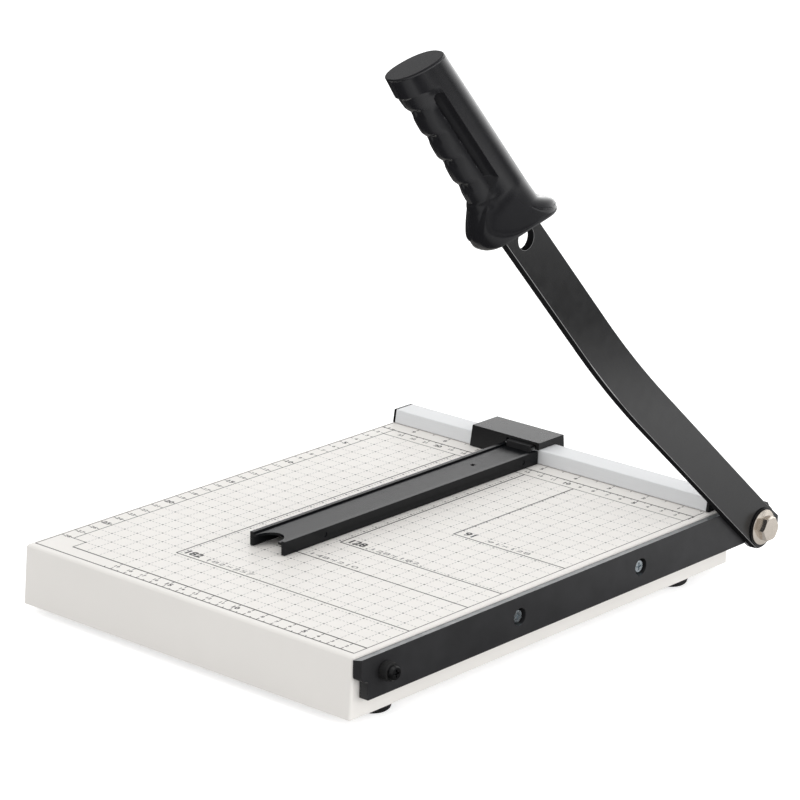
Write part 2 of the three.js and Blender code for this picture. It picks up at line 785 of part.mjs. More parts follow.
// Skins a row of closed rings, with flat fans on the first and last
function loft(rings) {
  const count = rings[0].length;
  const positions = rings.flat(2);
  const faces = [];
  for (let ring = 0; ring < rings.length - 1; ring += 1) {
    for (let point = 0; point < count; point += 1) {
      const next = (point + 1) % count;
      const a = ring * count + point;
      const b = ring * count + next;
      faces.push(a, b, b + count, a, b + count, a + count);
    }
  }
  const last = (rings.length - 1) * count;
  const first = THREE.ShapeUtils.triangulateShape(flatten(rings[0]), []);
  const end = THREE.ShapeUtils.triangulateShape(flatten(rings[rings.length - 1]), []);
  for (const [a, b, c] of first) {
    faces.push(a, c, b);
  }
  for (const [a, b, c] of end) {
    faces.push(last + a, last + b, last + c);
  }
  const geometry = new THREE.BufferGeometry();
  geometry.setAttribute("position", new THREE.Float32BufferAttribute(positions, 3));
  geometry.setIndex(faces);
  const volume = solid(geometry).volume();
  return volume > 0 ? geometry : flipped(geometry);
}

// Lays a ring into its own plane for the fan that closes it
function flatten(ring) {
  const [origin, second] = ring.map((point) => new THREE.Vector3(...point));
  const along = second.clone().sub(origin).normalize();
  const normal = new THREE.Vector3();
  ring.forEach((point, index) => {
    const here = new THREE.Vector3(...point).sub(origin);
    const next = new THREE.Vector3(...ring[(index + 1) % ring.length]).sub(origin);
    normal.add(here.cross(next));
  });
  normal.normalize();
  const across = normal.cross(along);
  return ring.map((point) => {
    const here = new THREE.Vector3(...point).sub(origin);
    return new THREE.Vector2(here.dot(along), here.dot(across));
  });
}

function flipped(geometry) {
  const index = Array.from(geometry.index.array);
  for (let face = 0; face < index.length; face += 3) {
    [index[face + 1], index[face + 2]] = [index[face + 2], index[face + 1]];
  }
  geometry.setIndex(index);
  return geometry;
}

function cutterArm() {
  const through = [armInner - overrun, armOuter + overrun];
  const pivot = rodX(shankRadius + gap + bushWall + gap, ...through, 0, 0, largeSides);
  const lock = rodX(lockHoleRadius, ...through, -lockHoleAt, armMiddleAt(lockHoleAt), largeSides);
  const pin = rodX(pinRadius + gap, ...through, ...gripPoint(pinAcross, pinAlong), smallSides);
  return cut(armBar(0), edgeBevel(), pivot, lock, pin);
}

function pivotBush() {
  const inner = shankRadius + gap;
  return cut(
    rodX(inner + bushWall, armInner, armOuter, 0, 0, largeSides),
    rodX(inner, armInner - overrun, armOuter + overrun, 0, 0, largeSides),
  );
}

// The bolt, its washers and its nut, around the X axis at the pivot
function pivotPieces() {
  const washerIn = armOuter + gap;
  const flangeIn = washerIn + washerThickness + gap;
  const headIn = flangeIn + flangeThickness;
  const headOut = headIn + headHeight;
  const discOut = -knifeThickness - gap;
  const nutOut = discOut - discThickness - discCone - gap;
  const nutIn = nutOut - pivotNutHeight;
  const flange = turned(
    [
      [0, 0],
      [flangeRadius, 0],
      [flangeRadius, flangeRim],
      [headFlats / 2, flangeThickness + gap],
      [0, flangeThickness + gap],
    ],
    36,
  );
  const crown = headFlats / Math.sqrt(3);
  const chamfer = turned(
    [
      [0, 0],
      [crown + headChamfer, 0],
      [crown + headChamfer, headHeight - headChamfer * 2],
      [headFlats / 2 + headChamfer / 2, headHeight],
      [0, headHeight],
    ],
    36,
  );
  const hex = surface(solid(hexagon(headFlats, 0, headHeight)).intersect(solid(chamfer)));
  const shank = rodZ(shankRadius, 0, 0, nutIn - pivotBoltEnd - flangeIn, gap, largeSides);
  hex.translate(0, 0, flangeThickness);
  const bolt = join(flange, hex, shank);
  const washer = cut(
    rodX(washerRadius, washerIn, washerIn + washerThickness, 0, 0, 36),
    rodX(shankRadius + gap, washerIn - overrun, washerIn + washerThickness + overrun, 0, 0, largeSides),
  );
  const disc = turned(
    [
      [shankRadius + gap, discCone],
      [discRadius, 0],
      [discRadius, discThickness],
      [shankRadius + gap, discCone + discThickness],
      [shankRadius + gap, discCone],
    ],
    largeSides,
  );
  const collar = turned(
    [
      [0, 0],
      [pivotNutFlats / 2 - gap, 0],
      [pivotNutFlats / 2 - gap, collarHeight],
      [0, collarHeight],
    ],
    largeSides,
  );
  const nutHex = hexagon(pivotNutFlats, 0, pivotNutHeight - collarHeight);
  collar.translate(0, 0, pivotNutHeight - collarHeight);
  const nut = cut(
    join(nutHex, collar),
    rodZ(shankRadius + gap, 0, 0, -overrun, pivotNutHeight + overrun, largeSides),
  );
  return [
    named("pivot_bolt", aimX(bolt, flangeIn, 0, 0), finishes.nickel),
    named("pivot_washer", washer, finishes.blackPlastic),
    named("pivot_disc_spring", aimX(disc, discOut, 0, 0, -1), finishes.zinc),
    named("pivot_nut", aimX(nut, nutOut, 0, 0, -1), finishes.zinc),
  ];
}

const ease = (share) => share * share * (3 - 2 * share);
const clamp01 = (value) => Math.min(1, Math.max(0, value));

// A wave that climbs fast behind each notch and falls slowly to the next
function fingerWave(station) {
  const turns = (station - fingerStart) / fingerPitch;
  const share = turns - Math.floor(turns);
  const rise = Math.sin((Math.PI / 2) * clamp01(share / fingerPeakShare));
  return rise * Math.cos((Math.PI / 2) * clamp01((share - fingerPeakShare) / (1 - fingerPeakShare)));
}

// Half sizes of the grip at a station
function gripSize(station) {
  const pastCollar = station - gripLength + collarRun;
  const collar = clamp01(pastCollar / collarStep);
  const collarSize = collarFront + (collarEndFront - collarFront) * clamp01(pastCollar / collarRun);
  const front = gripFront + fingerBump * fingerWave(station) * (1 - collar);
  const alongShare = clamp01(station / gripLength);
  const back = gripBack + (gripEndBack - gripBack) * alongShare;
  const side = gripHalfWidth + (gripEndHalfWidth - gripHalfWidth) * alongShare;
  const flareFront = clamp01(1 - station / guardFrontRun) ** 0.8;
  const flareBack = clamp01(1 - station / guardBackRun);
  const flareSide = clamp01(1 - station / guardSideRun) ** 2;
  const rim = 1 - rimShare * (1 - Math.sqrt(1 - (1 - clamp01(station / rimRun)) ** 2));
  return {
    front: (front + (collarSize - front) * collar + (guardFront - front) * flareFront) * rim,
    back: (back + (guardBack - back) * flareBack) * rim,
    side: (side + (guardHalfWidth - side) * flareSide) * rim,
  };
}

// How far the flank's hollow takes the surface in
function panelHollow(station, across) {
  const ridge = -Math.max(0, panelFoot - station) * panelFootSlope;
  const top = ease(clamp01((panelTop - station) / panelTopRun));
  return panelDepth * top * ease(clamp01((ridge - across) / panelSlope));
}

function gripRing(station, shrink = 0, sides = gripSides) {
  const size = gripSize(station);
  const lean = Math.tan(gripLean * degree);
  const guardShare = clamp01(1 - station / guardRun);
  return Array.from({ length: sides }, (_, index) => {
    const turn = (Math.PI * 2 * index) / sides;
    const up = Math.sin(turn);
    const out = Math.cos(turn);
    const across = (up > 0 ? size.back : size.front) * Math.sign(up) * Math.abs(up) ** 0.9;
    const half = size.side * Math.abs(out) ** 0.85;
    const wide = Math.sign(out) * Math.max(half - panelHollow(station, across), half / 2);
    const along = station - (guardReach + guardBow * up * up) * guardShare;
    const [y, z] = gripPoint(across * (1 - shrink), along - across * (1 - shrink) * lean);
    return [armMiddle + wide * (1 - shrink), y, z];
  });
}

function gripStations() {
  const stations = [0, 0.05, 0.15, 0.3, 0.55, 0.8, 1].map((share) => rimRun * share);
  const collarStart = gripLength - collarRun;
  const guardSteps = 10;
  for (let step = 1; step < guardSteps; step += 1) {
    stations.push(rimRun + ((fingerStart - rimRun) * step) / guardSteps);
  }
  for (let notch = fingerStart; notch < collarStart; notch += fingerPitch) {
    for (const share of [0, fingerPeakShare / 3, fingerPeakShare, 0.4, 0.6, 0.8]) {
      const station = notch + fingerPitch * share;
      if (station < collarStart - collarStep / 2) {
        stations.push(station);
      }
    }
  }
  stations.push(collarStart, collarStart + collarStep, gripLength - collarRun / 2, gripLength);
  return stations;
}

function handleGrip() {
  const body = loft(gripStations().map((along) => gripRing(along)));
  const noseFromPivot = pivotBehind - knifeFrontY;
  const relief = block(
    [armMiddle - guardHalfWidth - overrun, armInner],
    [-noseFromPivot - guardRelief, -noseFromPivot + guardFront * 2],
    [-guardFront * 2, pivotDrop + knifeRise + guardRelief],
  );
  relief.rotateX((armRaise - armDrop) * degree);
  const [pinY, pinZ] = gripPoint(pinAcross, pinAlong);
  const pinHole = rodX(
    pinRadius + gap,
    armMiddle - gripHalfWidth - overrun,
    armMiddle + gripHalfWidth - pinSkin,
    pinY,
    pinZ,
    smallSides,
  );
  const plug = loft([
    gripRing(gripLength - endPlugLength - gap, 1 - endPlugShare - gap / gripBack),
    gripRing(gripLength + overrun, 1 - endPlugShare - gap / gripBack),
  ]);
  return cut(body, armBar(gap), relief, pinHole, plug);
}

function handleEndCap() {
  const face = gripLength + gap;
  const plate = loft([gripRing(face), gripRing(face + endCapThickness)]);
  const plug = loft([
    gripRing(gripLength - endPlugLength, 1 - endPlugShare),
    gripRing(face + gap, 1 - endPlugShare),
  ]);
  return join(plate, plug);
}

function tangPin() {
  const [y, z] = gripPoint(pinAcross, pinAlong);
  const start = armMiddle - gripHalfWidth + pinSkin;
  return rodX(pinRadius, start, armMiddle + gripHalfWidth - pinSkin - gap, y, z, smallSides);
}

function addBoard(group) {
  group.add(named("base_shell", baseShell(), finishes.boardPaint));
  for (const [place, x, y] of footPlaces) {
    const top = -baseHeight - gap;
    const rubber = foot().translate(x, y, top - footHeight);
    const seat = top - footHeight + screwHeadHeight + gap * 4;
    const nutSeat = -baseHeight + sheet + gap;
    const screw = crossScrew(nutSeat + nutHeight + screwEnd - seat + gap);
    group.add(named(`foot_${place}`, rubber, finishes.rubber));
    screw.rotateX(Math.PI).translate(x, y, seat - gap);
    group.add(named(`foot_screw_${place}`, screw, finishes.zinc));
    const nut = hexNut(nutFlats, nutHeight, screwRadius).translate(x, y, nutSeat);
    group.add(named(`foot_nut_${place}`, nut, finishes.zinc));
  }
}

function addKnife(group) {
  group.add(named("bed_knife", bedKnife(), finishes.blackSteel));
  for (const [place, y] of knifeScrewPlaces) {
    const [screw, nut] = knifeFastener(y);
    group.add(named(`knife_screw_${place}`, screw, finishes.zinc));
    group.add(named(`knife_nut_${place}`, nut, finishes.zinc));
  }
  group.add(...stopPieces());
}

function addFence(group) {
  group.add(named("fence_rail", fenceRail(), finishes.railAluminium));
  group.add(named("fence_cap_left", fenceCap(railLeft - gap, -1), finishes.blackPlastic));
  group.add(named("fence_cap_right", fenceCap(railRight + gap, 1), finishes.blackPlastic));
  fenceScrewPlaces.forEach((x, index) => {
    group.add(named(`fence_screw_${index + 1}`, fenceScrew(x), finishes.zinc));
  });
}

function addGuide(group) {
  group.add(named("guide_block", guideBlock(), finishes.blackPlastic));
  group.add(named("guide_channel", guideChannel(), finishes.channelPlastic));
  group.add(named("guide_strap", guideStrap(), finishes.zinc));
  strapRivets().forEach((y, index) => {
    group.add(named(`guide_rivet_${index + 1}`, strapRivet(y), finishes.zinc));
  });
  strapPins().forEach((y, index) => {
    group.add(named(`guide_pin_${index + 1}`, strapPin(y), finishes.zinc));
  });
  group.add(named("guide_pad", guidePad(), finishes.felt));
}

function addArm(group) {
  const pivot = new THREE.Group();
  pivot.position.set(0, pivotBehind, -pivotDrop);
  pivot.add(...pivotPieces());
  const arm = new THREE.Group();
  arm.rotation.x = -armRaise * degree;
  arm.add(named("cutter_arm", cutterArm(), finishes.blackSteel));
  arm.add(named("pivot_bush", pivotBush(), finishes.brass));
  arm.add(named("handle_grip", handleGrip(), finishes.gripPlastic));
  arm.add(named("handle_end_cap", handleEndCap(), finishes.gripPlastic));
  arm.add(named("tang_pin", tangPin(), finishes.zinc));
  pivot.add(arm);
  group.add(pivot);
}

const trimmer = new THREE.Group();
addBoard(trimmer);
addKnife(trimmer);
addFence(trimmer);
addGuide(trimmer);
addArm(trimmer);

// The origin: the middle of the footprint, on the plane that the feet stand on
const extent = new THREE.Box3().setFromObject(trimmer, true);
const middle = extent.getCenter(new THREE.Vector3());
trimmer.position.set(-middle.x, -middle.y, -extent.min.z);

export default trimmer;
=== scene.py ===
"""Looks of a desk paper trimmer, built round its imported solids.

Lengths are in millimetres from three planes, as in the part's source: X = 0 is the cutting edge,
Y = 0 is the fence's front face and Z = 0 is the top of the board. place() turns them into metres
in the shared frame.
"""

import json
import math

import bmesh
import bpy
from mathutils import Matrix, Vector

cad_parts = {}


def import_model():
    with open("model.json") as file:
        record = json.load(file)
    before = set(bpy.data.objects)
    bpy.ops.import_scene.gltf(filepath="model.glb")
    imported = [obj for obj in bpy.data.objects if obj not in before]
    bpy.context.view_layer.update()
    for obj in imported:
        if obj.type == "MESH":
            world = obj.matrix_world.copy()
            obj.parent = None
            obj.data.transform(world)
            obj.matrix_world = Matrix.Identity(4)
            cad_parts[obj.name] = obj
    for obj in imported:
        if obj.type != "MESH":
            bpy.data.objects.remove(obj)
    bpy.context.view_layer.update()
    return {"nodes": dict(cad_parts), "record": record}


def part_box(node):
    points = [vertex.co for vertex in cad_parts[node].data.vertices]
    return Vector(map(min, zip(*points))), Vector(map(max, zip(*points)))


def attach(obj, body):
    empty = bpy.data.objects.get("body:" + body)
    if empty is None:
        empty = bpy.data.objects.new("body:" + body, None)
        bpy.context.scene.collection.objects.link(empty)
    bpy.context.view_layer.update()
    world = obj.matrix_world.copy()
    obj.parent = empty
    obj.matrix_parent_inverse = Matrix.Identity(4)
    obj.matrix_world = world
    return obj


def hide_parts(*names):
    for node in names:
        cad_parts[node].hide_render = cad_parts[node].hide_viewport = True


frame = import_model()

MM = 0.001
ORIGIN = Vector((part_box("bed_knife")[1].x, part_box("fence_rail")[0].y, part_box("base_shell")[1].z))

# Camera: it stands where the photograph was taken from
CAMERA_PLACE = (1085.49, -1516.69, 656.34)
CAMERA_TURN = -41.2546
CAMERA_DOWN = 17.6142
CAMERA_ROLL = 0.8427
CAMERA_LENS = 154.63
SENSOR = 36.0
CAMERA_REACH = 50.0
TURN = math.radians(CAMERA_TURN)
TO_BACK = Vector((math.sin(TURN), math.cos(TURN), 0.0))
TO_RIGHT = Vector((math.cos(TURN), -math.sin(TURN), 0.0))

# Print on the board
INK_HEIGHT = 0.03
INK_WELD = 0.0005
PRINT_LEFT = -249.5
PRINT_RIGHT = -10.5
PRINT_FRONT = -300.0
PRINT_BACK = -1.0
RULER_LEFT = -240.0
RULER_FRONT = -290.0
CORNER_RIGHT = -230.0
CORNER_BACK = -280.0
INCH_LINE = -11.0
CENTIMETRE_LINE = -20.5
LEFT_LAST = 28
FRONT_LAST = 19
FENCE_LAST = 23
INCH = 25.4
INCH_LAST = 9
THICK = 0.95
MEDIUM = 0.8
THIN = 0.55

# Ticks on the rulers: their width, then their lengths, the second for the half steps
TICK = 0.55
LEFT_TICK = 2.2
FRONT_TICKS = (2.6, 1.4)
FENCE_TICKS = (2.2, 1.2)
INCH_TICKS = (2.2, 1.4)
INCH_TICK_BACK = -0.4

# Digits: where each row stands, and the height and weight of plain and of every fifth one
LEFT_ROW = -244.8
FRONT_ROW = -295.0
FENCE_ROW = -15.8
INCH_ROW = -5.4
LEFT_DIGITS = ((2.6, 0.025), (3.3, 0.05))
RULER_DIGITS = ((2.3, 0.025), (3.1, 0.05))
DIGIT_SHARE = 0.73  # a digit's height as a share of its font size
INCH_DIGITS = (2.8, 0.03)

# Paper frames: width and depth. The paper stop hides the label and left line of one of them
FRAMES = ((182, 257), (148, 210), (128, 182), (91, 128))
HIDDEN_FRAME = 148
FRAME_LABEL = (8.4, 5.0)
FRAME_DIGITS = {"size": 5.4, "stretch": 1.15, "bold": 0.05}
FRAME_SIZE = (37.0, 3.8)
SIZE_DIGITS = {"size": 3.0, "stretch": 2.5}

# Dashed grid, counted in centimetres
GRID_COLUMNS = (-23, -2)
GRID_ROWS = (-28, -3)
DASH_LENGTH = 1.4
DASH_WIDTH = 0.42
DASH_STEP = 2.5
DASHES_PER_CENTIMETRE = 4
BLOT = 1.25

# Grip, in the arm's own frame: lengths along it are stations from the guard's rim, and lengths
# over it run from the finger side, which is negative, to the palm side
GRIP_SIDES = 192
GRIP_STEP = 0.6
PIVOT = (0.0, 35.0, -14.0)
ARM_RAISE = 41.4
ARM_MIDDLE = 2.55
GRIP_FROM_PIVOT = 323.1
GRIP_ABOVE = 17.72
GRIP_TILT = 7.9
GRIP_LEAN = 27.3
GRIP_LENGTH = 119.6
GRIP_BACK = (17.8, 16.9)  # reach to the palm side, at the guard and at the cap
GRIP_SIDE = (9.2, 8.5)  # half the width, at the guard and at the cap
GRIP_FRONT = 16.6
UP_POWER = 0.9  # both powers are 1 for an ellipse and less for a fuller section
OUT_POWER = 0.85
LEAST_HALF = 0.35  # share of the half width that no hollow takes away
COLLAR = (13.5, 1.5, 18.9, 17.6)  # length, run of its step, reach at its two ends
FINGERS = 4
FINGER_BUMP = 1.3
FINGER_PITCH = 19.0
FINGER_START = 39.2
FINGER_PEAK = 0.2
CALM_WAVE = 0.45  # the flanks don't wave with the fingers up to a distance, then do over a run
CALM_TO = 13.0
CALM_RUN = 4.0
GUARD = (32.2, 24.8, 17.55)  # reach to the finger side, to the palm side and to either flank
GUARD_RUNS = (25.5, 26.4)  # how far it flares along the finger side and along the flanks
GUARD_POWERS = (0.8, 2)  # how the two flares fade
GUARD_BACK = (12.7, 7.0)  # where it ends on the palm side, and the run of its slope
GUARD_SHIFT = (30.0, 2.4, 5.0)  # over this run it leans out by a reach and bows by a height
RIM_RUN = 10.7
RIM_BACK_RUN = 5.0
RIM_SHARE = 0.24  # share of the reach that the rounding of the rim takes
RIM_ROWS = (0, 0.01, 0.03, 0.06)  # shares of the run, for rows that stand close
FLANK_DEPTH = 1.2
FLANK_WALL = 1.2
FLANK_TOP = (108.0, 14.0)  # where the panel ends, and over what run it fades
FLANK_FOOT = 37.0
FLANK_SWING = 0.95
GROOVE = (3.2, 5.6, 103.6, 0.7)  # radius, depth, where it ends, and the run of its walls
NOTCH_DENT = (2.2, 1.4, 7.0)  # depth, run above each notch and run below it
NOTCH_INNER = (14.2, 1.8)  # how far out it starts, and over what run
LIP_GROOVE = (0.8, 0.8)  # depth and width
LIP_INNER = (5.0, 2.0)
LIP_LINE = (3.2, 7.5, 5.5, 4.0)  # its foot, its rise, and where and over what run it rises

# End cap: rings at a share of its rise, each with a share of the grip's last section
CAP_RISE = 1.9
CAP_RINGS = ((0.0, 1.0), (0.6, 1.0), (0.78, 0.996), (0.91, 0.985), (1.0, 0.966))

# What the grip makes room for with the arm down: the board, and the bed knife's edge
GUARD_RELIEF = 1.8
KNIFE_RISE = 0.5
ARM_INNER = 0.3
NOSE_FROM_PIVOT = 340.6
ARM_DROP = 40.0

# Room: a pale floor and a white surround, in metres. Mirrored rays see a light of their own. In
# the surround it is dim in front of the part, and behind it falls from the horizon up. On the
# floor it follows a list of places out to the camera's right, and grows towards the far floor
FLOOR_HALF = 8.0
FLOOR_COLOUR = (0.82, 0.82, 0.82)
FLOOR_LIFT = 0.6
WORLD_LIGHT = 0.87
MIRRORED_FRONT = 0.45
MIRRORED_HORIZON = 3.0
MIRRORED_FALL = 4.8
MIRRORED_LEAST = 0.05
MIRRORED_SPREAD = (0.3, 0.85)
FLOOR_MIRRORED = (
    (-0.2, 0.06),
    (0.12, 0.08),
    (0.24, 0.7),
    (0.4, 0.95),
    (0.5, 1.25),
    (0.56, 1.2),
    (0.65, 0.05),
    (0.92, 0.03),
    (1.05, 0.3),
    (1.4, 2.0),
    (1.4, 0.06),
)
FLOOR_HORIZON = (1.6, 4.4, 1.9)  # where it starts to grow and stops, and by how much
RAMP_FULL = 2.0  # a ramp's colours stop at 1, so it holds the light divided by this

# Lamps: azimuth, elevation and distance from the lit point, width, height, power, and whether
# mirrored rays see them
LIT_POINT = Vector((0.0, 0.0, 0.1))
SOFTBOXES = (
    ("top_lamp", 0.0, 88.0, 1.9, 1.4, 1.4, 3.9, True),
    ("right_lamp", 104.0, 12.0, 1.8, 1.7, 1.1, 12.5, False),
    ("front_lamp", -42.0, 25.0, 1.35, 0.8, 0.8, 0.8, False),
    ("strip_lamp", 134.6, -0.6, 0.87, 0.17, 0.36, 0.1, True),
)


def place(x, y, z):
    return ORIGIN + Vector((x, y, z)) * MM


def build(name, shape):
    """Puts a shape into the scene as an object."""
    mesh = bpy.data.meshes.new(name)
    shape.to_mesh(mesh)
    shape.free()
    piece = bpy.data.objects.new(name, mesh)
    bpy.context.scene.collection.objects.link(piece)
    return piece


# Materials

NOISE_SPAN = (0.3, 0.7)
# Light grey painted highlight for the soft edges of the arm
ARM_EDGE_HIGHLIGHT = (0.42, 0.42, 0.42)
KNIFE_GROUND = (0.075, 0.085, 0.092)


class Nodes:
    """A tree of shader nodes, with short ways to add to it. A value is a number or a socket."""

    def __init__(self, tree):
        self.tree = tree

    def node(self, kind, **settings):
        made = self.tree.nodes.new(kind)
        for setting, value in settings.items():
            setattr(made, setting, value)
        return made

    def link(self, source, target):
        self.tree.links.new(source, target)

    def feed(self, value, target):
        if isinstance(value, bpy.types.NodeSocket):
            self.link(value, target)
        else:
            target.default_value = value

    def math(self, operation, *values):
        made = self.node("ShaderNodeMath", operation=operation)
        for value, socket in zip(values, made.inputs):
            self.feed(value, socket)
        return made.outputs[0]

    def part(self, vector, axis):
        split = self.node("ShaderNodeSeparateXYZ")
        self.link(vector, split.inputs["Vector"])
        return split.outputs[axis]

    def reach(self, vector, direction):
        """How far a vector goes in a direction."""
        made = self.node("ShaderNodeVectorMath", operation="DOT_PRODUCT")
        self.link(vector, made.inputs[0])
        made.inputs[1].default_value = direction
        return made.outputs["Value"]

    def remap(self, value, low, high, new_low, new_high, **settings):
        made = self.node("ShaderNodeMapRange", **settings)
        values = {"From Min": low, "From Max": high, "To Min": new_low, "To Max": new_high}
        for socket, number in values.items():
            self.feed(number, made.inputs[socket])
        self.link(value, made.inputs["Value"])
        return made.outputs["Result"]

    def either(self, share, first, second):
        """The first value where the share is 0 and the second where it is 1."""
        made = self.node("ShaderNodeMix")
        self.link(share, made.inputs["Factor"])
        self.feed(first, made.inputs["A"])
        self.feed(second, made.inputs["B"])
        return made.outputs["Result"]

    def mix(self, share, first, second):
        """Blends two colours; each is a colour or a socket."""
        made = self.node("ShaderNodeMix", data_type="RGBA")
        self.link(share, made.inputs[0])
        for socket, value in ((made.inputs[6], first), (made.inputs[7], second)):
            self.feed(value if isinstance(value, bpy.types.NodeSocket) else (*value, 1.0), socket)
        return made.outputs[2]


class Finish(Nodes):
    """A node material. What is even over the surface is set on the shader's own sockets."""

    def __init__(self, name, colour, roughness, metallic=0.0, specular=0.5):
        self.name = name
        self.material = bpy.data.materials.new(name)
        self.material.use_nodes = True
        super().__init__(self.material.node_tree)
        self.shader = self.tree.nodes["Principled BSDF"]
        self.shader.inputs["Base Color"].default_value = (*colour, 1.0)
        self.shader.inputs["Roughness"].default_value = roughness
        self.shader.inputs["Metallic"].default_value = metallic
        self.shader.inputs["Specular IOR Level"].default_value = specular
        self.colour = colour
        self.roughness = roughness
        self.height = None
        self.coordinates = self.node("ShaderNodeTexCoord").outputs["Object"]

    def noise(self, size, detail=2.0, stretch=(1.0, 1.0, 1.0)):
        """Cloudy noise from 0 to 1 whose features are about size millimetres wide."""
        mapping = self.node("ShaderNodeMapping")
        mapping.inputs["Scale"].default_value = [1 / s for s in stretch]
        self.link(self.coordinates, mapping.inputs["Vector"])
        texture = self.node("ShaderNodeTexNoise")
        texture.inputs["Scale"].default_value = 1 / (size * MM)
        texture.inputs["Detail"].default_value = detail
        self.link(mapping.outputs["Vector"], texture.inputs["Vector"])
        return texture.outputs["Fac"]

    def mottle(self, size, amount, detail=2.0, stretch=(1.0, 1.0, 1.0)):
        """Lets the colour wander by a share of itself."""
        share = self.remap(self.noise(size, detail, stretch), *NOISE_SPAN, 0.0, 1.0)
        darker = [c * (1 - amount) for c in self.colour]
        lighter = [min(1.0, c * (1 + amount)) for c in self.colour]
        self.paint(self.mix(share, darker, lighter))
        return self

    def paint(self, socket):
        self.link(socket, self.shader.inputs["Base Color"])

    def cover(self, share, colour):
        """Puts another colour over the present one where the share is 1."""
        present = self.shader.inputs["Base Color"].links[0].from_socket
        self.paint(self.mix(share, present, colour))
        return self

    def facing(self, axis):
        """How squarely the surface faces along an axis, either way, from 0 to 1."""
        normal = self.node("ShaderNodeTexCoord").outputs["Normal"]
        return self.math("ABSOLUTE", self.part(normal, axis))

    def smear(self, size, amount, detail=2.0, stretch=(1.0, 1.0, 1.0)):
        """Lets the roughness wander by an amount."""
        share = self.noise(size, detail, stretch)
        low, high = self.roughness - amount, self.roughness + amount
        self.link(self.remap(share, *NOISE_SPAN, low, high), self.shader.inputs["Roughness"])
        return self

    def grain(self, size, depth, detail=2.0, stretch=(1.0, 1.0, 1.0)):
        """Raises the surface by noise, depth in millimetres."""
        bump = self.node("ShaderNodeBump")
        bump.inputs["Strength"].default_value = 1.0
        bump.inputs["Distance"].default_value = depth * MM
        self.link(self.noise(size, detail, stretch), bump.inputs["Height"])
        if self.height is not None:
            self.link(self.height, bump.inputs["Normal"])
        self.height = bump.outputs["Normal"]
        self.link(self.height, self.shader.inputs["Normal"])
        return self


def board_paint():
    made = Finish("board_paint", (0.85, 0.825, 0.79), 0.42)
    return made.mottle(60, 0.012).smear(9, 0.04).grain(0.9, 0.012).grain(7, 0.03)


def knife_steel():
    """Blackened steel whose top was ground bare."""
    made = Finish("knife_steel", (0.026, 0.026, 0.0275), 0.36)
    made.mottle(14, 0.12).smear(5, 0.05).grain(0.35, 0.006, detail=3.0)
    ground = made.remap(made.facing("Z"), 0.85, 0.97, 0.0, 1.0)
    made.link(made.remap(ground, 0.0, 1.0, 0.32, 0.6), made.shader.inputs["Specular IOR Level"])
    return made.cover(ground, KNIFE_GROUND)


def arm_steel():
    """Black steel, glossy on its flat sides, with a painted highlight of light grey along its soft
    edges.
    """
    made = Finish("arm_steel", (0.012, 0.012, 0.0125), 0.22)
    facing = made.facing("X")
    made.link(made.remap(facing, 0.85, 0.98, 0.0, 0.5), made.shader.inputs["Specular IOR Level"])
    made.mottle(20, 0.08).smear(6, 0.03).grain(0.3, 0.003, detail=3.0)
    # Painted highlight: light grey over the soft edges, between the flat sides and the narrow faces
    off_edge = made.remap(facing, 0.32, 0.45, 0.0, 1.0)
    off_side = made.remap(facing, 0.93, 0.99, 1.0, 0.0)
    return made.cover(made.math("MINIMUM", off_edge, off_side), ARM_EDGE_HIGHLIGHT)


def black_screws():
    made = Finish("black_screws", (0.004, 0.004, 0.0045), 0.3)
    return made.mottle(2, 0.2).grain(0.3, 0.005)


def bright_bolt():
    made = Finish("bright_bolt", (0.77, 0.70, 0.62), 0.17, 1.0)
    return made.mottle(3, 0.04).smear(1.5, 0.05).grain(0.25, 0.002)


def zinc():
    made = Finish("zinc", (0.62, 0.68, 0.72), 0.27, 1.0)
    return made.mottle(1.5, 0.08).smear(1.2, 0.06).grain(0.3, 0.003)


def strap_steel():
    made = Finish("strap_steel", (0.02, 0.02, 0.021), 0.4)
    return made.mottle(5, 0.15).grain(0.3, 0.006)


def fence_aluminium():
    made = Finish("fence_aluminium", (0.75, 0.76, 0.77), 0.4)
    brushed = (60.0, 1.0, 1.0)
    made.mottle(0.5, 0.012, stretch=brushed).smear(0.5, 0.05, stretch=brushed)
    return made.grain(0.25, 0.0015, stretch=brushed)


def black_plastic():
    made = Finish("black_plastic", (0.0055, 0.0055, 0.006), 0.26, specular=0.35)
    return made.mottle(3, 0.12).smear(4, 0.015).grain(0.28, 0.003, detail=3.0)


def channel_plastic():
    made = Finish("channel_plastic", (0.004, 0.0045, 0.0055), 0.25, specular=0.17)
    return made.mottle(4, 0.1).smear(5, 0.02).grain(0.3, 0.004, detail=3.0)


def grip_plastic():
    made = Finish("grip_plastic", (0.0105, 0.0105, 0.012), 0.2, specular=0.26)
    return made.mottle(8, 0.08).smear(6, 0.015).grain(0.3, 0.0008, detail=3.0)


def rubber():
    made = Finish("rubber", (0.016, 0.016, 0.016), 0.62)
    return made.mottle(2, 0.15).grain(0.3, 0.015)


def brass():
    return Finish("brass", (0.62, 0.45, 0.2), 0.3, 1.0).mottle(2, 0.08).smear(1, 0.05)


def felt():
    return Finish("felt", (0.09, 0.09, 0.1), 0.95).mottle(0.6, 0.25).grain(0.2, 0.08, detail=4.0)


def ink(name, shade):
    return Finish(name, (shade, shade, shade * 0.98), 0.5).mottle(1.2, 0.06)


finishes = {
    made.name: made.material
    for made in (
        board_paint(),
        knife_steel(),
        arm_steel(),
        black_screws(),
        bright_bolt(),
        zinc(),
        strap_steel(),
        fence_aluminium(),
        black_plastic(),
        channel_plastic(),
        grip_plastic(),
        rubber(),
        brass(),
        felt(),
    )
}
dark_ink = ink("dark_ink", 0.03).material
middle_ink = ink("middle_ink", 0.17).material
pale_ink = ink("pale_ink", 0.36).material


# Carried-over solids: soft edges, in millimetres, and smooth rounds, by angles in degrees

